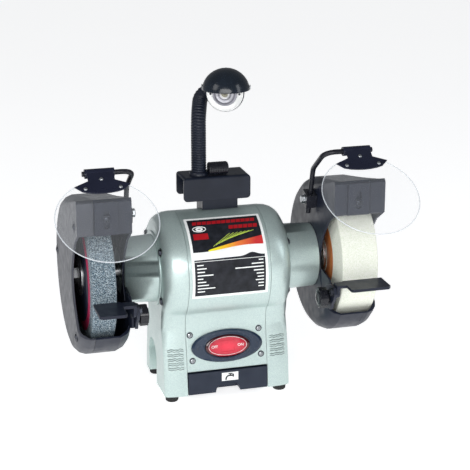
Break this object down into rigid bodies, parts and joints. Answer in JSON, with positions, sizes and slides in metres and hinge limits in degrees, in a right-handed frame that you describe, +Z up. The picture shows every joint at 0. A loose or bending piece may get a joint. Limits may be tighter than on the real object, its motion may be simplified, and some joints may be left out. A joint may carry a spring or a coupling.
{
  "type": "bench grinder",
  "caption": "Double-ended bench grinder with wheel guards, clear eye shields, tool rests, front rocker switch, slide-out water tray and a gooseneck work lamp.",
  "frame": {"origin": "on the motor's mid-plane, within 3 mm of the middle of the footprint's bounding box, on the bench surface under the rubber feet", "axes": "+X along the spindle towards the right-hand wheel as the operator sees it, -Y towards the operator, +Z up"},
  "size_m": [0.374, 0.2401, 0.3515],
  "materials": {
    "silver_green_paint": "satin, faintly metallic grey-green paint",
    "black_paint": "semi-gloss black powder coat",
    "charcoal_paint": "satin charcoal paint",
    "bright_steel": "bright turned steel",
    "lamination_steel": "stacked sheet steel",
    "enamelled_copper": "varnished copper winding",
    "black_plastic": "moulded black plastic",
    "dark_blue_plastic": "glossy blue-black plastic",
    "clear_red_plastic": "translucent red, glossy",
    "black_rubber": "soft black rubber",
    "grey_abrasive": "coarse blue-grey abrasive grit",
    "white_abrasive": "fine ivory-white abrasive grit",
    "label_film": "printed film, black with red and white",
    "clear_polycarbonate": "clear sheet",
    "white_reflector": "glossy white",
    "bulb_glass": "clear moulded lens",
    "grey_plastic": "plain grey can"
  },
  "bodies": {
    "base": {"motor_housing": "silver_green_paint", "left_end_bell": "silver_green_paint", "right_end_bell": "silver_green_paint", "base_plate": "black_paint", "foot_front_left": "black_rubber", "foot_front_right": "black_rubber", "foot_rear_left": "black_rubber", "foot_rear_right": "black_rubber", "stator_core": "lamination_steel", "stator_winding_left": "enamelled_copper", "stator_winding_right": "enamelled_copper", "bearing_left": "bright_steel", "bearing_right": "bright_steel", "capacitor": "grey_plastic", "switch_body": "black_plastic", "switch_bezel": "dark_blue_plastic", "label_plate": "label_film", "left_inner_guard": "black_paint", "right_inner_guard": "black_paint", "left_outer_cover": "charcoal_paint", "right_outer_cover": "black_paint", "left_rod_clamp": "black_paint", "right_rod_clamp": "black_paint", "lamp_pedestal": "black_plastic", "lamp_box": "black_plastic", "lamp_transformer": "lamination_steel", "cord_gland": "black_rubber"},
    "spindle": {"spindle": "bright_steel", "rotor_core": "lamination_steel", "left_wheel": "grey_abrasive", "left_inner_flange": "bright_steel", "left_outer_flange": "bright_steel", "left_wheel_nut": "bright_steel", "right_wheel": "white_abrasive", "right_inner_flange": "bright_steel", "right_outer_flange": "bright_steel", "right_wheel_nut": "bright_steel"},
    "switch_rocker": {"switch_rocker": "clear_red_plastic"},
    "water_tray": {"water_tray": "black_plastic"},
    "left_rest_arm": {"left_rest_arm": "black_paint"},
    "left_tool_rest": {"left_tool_rest": "black_paint"},
    "left_rest_knob": {"left_rest_knob": "black_plastic"},
    "left_shield_rod": {"left_shield_rod": "black_paint"},
    "left_shield": {"left_shield_bracket": "black_paint", "left_eye_shield": "clear_polycarbonate"},
    "left_spark_arrester": {"left_spark_arrester": "black_paint"},
    "right_rest_arm": {"right_rest_arm": "black_paint"},
    "right_tool_rest": {"right_tool_rest": "black_paint"},
    "right_rest_knob": {"right_rest_knob": "black_plastic"},
    "right_shield_rod": {"right_shield_rod": "black_paint"},
    "right_shield": {"right_shield_bracket": "black_paint", "right_eye_shield": "clear_polycarbonate"},
    "right_spark_arrester": {"right_spark_arrester": "black_paint"},
    "gooseneck_clamp_knob": {"gooseneck_clamp_knob": "black_plastic"},
    "gooseneck_lower": {"gooseneck_lower": "black_plastic"},
    "gooseneck_upper": {"gooseneck_upper": "black_plastic"},
    "lamp_head": {"lamp_shell": "black_plastic", "lamp_reflector": "white_reflector", "lamp_bulb": "bulb_glass"},
    "lamp_hood": {"lamp_hood": "black_plastic"}
  },
  "joints": [
    {"name": "spindle_spin", "type": "hinge", "parent": "base", "child": "spindle", "pos_m": [0, 0.03364, 0.139], "axis": [1, 0, 0], "continuous": true},
    {"name": "switch_rock", "type": "hinge", "parent": "base", "child": "switch_rocker", "pos_m": [0, -0.00938, 0.0585], "axis": [0, 0.1588, 0.9873], "range_deg": [-5, 5]},
    {"name": "tray_slide", "type": "slide", "parent": "base", "child": "water_tray", "axis": [0, -1, 0], "range_m": [0, 0.075]},
    {"name": "left_rest_slide", "type": "slide", "parent": "base", "child": "left_rest_arm", "axis": [0, -1, 0], "range_m": [-0.001, 0.006]},
    {"name": "left_rest_tilt", "type": "hinge", "parent": "left_rest_arm", "child": "left_tool_rest", "pos_m": [-0.1073, -0.05236, 0.124], "axis": [1, 0, 0], "range_deg": [-10, 20]},
    {"name": "left_rest_knob_turn", "type": "hinge", "parent": "base", "child": "left_rest_knob", "pos_m": [-0.1037, -0.03936, 0.114], "axis": [1, 0, 0], "range_deg": [-180, 180]},
    {"name": "left_rod_slide", "type": "slide", "parent": "base", "child": "left_shield_rod", "axis": [0, -0.2723, 0.9622], "range_m": [-0.003, 0.008]},
    {"name": "left_shield_flip", "type": "hinge", "parent": "left_shield_rod", "child": "left_shield", "pos_m": [-0.136, -0.02636, 0.264], "axis": [1, 0, 0], "range_deg": [-80, 2]},
    {"name": "left_spark_slide", "type": "slide", "parent": "base", "child": "left_spark_arrester", "axis": [0, 0, 1], "range_m": [-0.006, 0.004]},
    {"name": "right_rest_slide", "type": "slide", "parent": "base", "child": "right_rest_arm", "axis": [0, -1, 0], "range_m": [-0.001, 0.006]},
    {"name": "right_rest_tilt", "type": "hinge", "parent": "right_rest_arm", "child": "right_tool_rest", "pos_m": [0.1073, -0.05236, 0.124], "axis": [1, 0, 0], "range_deg": [-10, 20]},
    {"name": "right_rest_knob_turn", "type": "hinge", "parent": "base", "child": "right_rest_knob", "pos_m": [0.1037, -0.03936, 0.114], "axis": [1, 0, 0], "range_deg": [-180, 180]},
    {"name": "right_rod_slide", "type": "slide", "parent": "base", "child": "right_shield_rod", "axis": [0, -0.2723, 0.9622], "range_m": [-0.003, 0.008]},
    {"name": "right_shield_flip", "type": "hinge", "parent": "right_shield_rod", "child": "right_shield", "pos_m": [0.136, -0.02636, 0.269], "axis": [1, 0, 0], "range_deg": [-80, 2]},
    {"name": "right_spark_slide", "type": "slide", "parent": "base", "child": "right_spark_arrester", "axis": [0, 0, 1], "range_m": [-0.006, 0.004]},
    {"name": "clamp_knob_turn", "type": "hinge", "parent": "base", "child": "gooseneck_clamp_knob", "pos_m": [0, 0.03414, 0.2443], "axis": [1, 0, 0], "range_deg": [-180, 180]},
    {"name": "gooseneck_swivel", "type": "hinge", "parent": "base", "child": "gooseneck_lower", "pos_m": [-0.0166, 0.04164, 0.2373], "axis": [0, 0, 1], "range_deg": [-90, 90]},
    {"name": "gooseneck_bend", "type": "hinge", "parent": "gooseneck_lower", "child": "gooseneck_upper", "pos_m": [-0.0166, 0.04164, 0.284], "axis": [1, 0, 0], "range_deg": [-30, 30]},
    {"name": "lamp_roll", "type": "hinge", "parent": "gooseneck_upper", "child": "lamp_head", "pos_m": [0.00134, 0.05197, 0.32433], "axis": [-0.5456, 0.8359, -0.0599], "range_deg": [-30, 30]},
    {"name": "hood_pivot", "type": "hinge", "parent": "lamp_head", "child": "lamp_hood", "pos_m": [0.012, 0.03564, 0.3255], "axis": [0.9397, -0.342, 0], "range_deg": [-8, 60]}
  ]
}
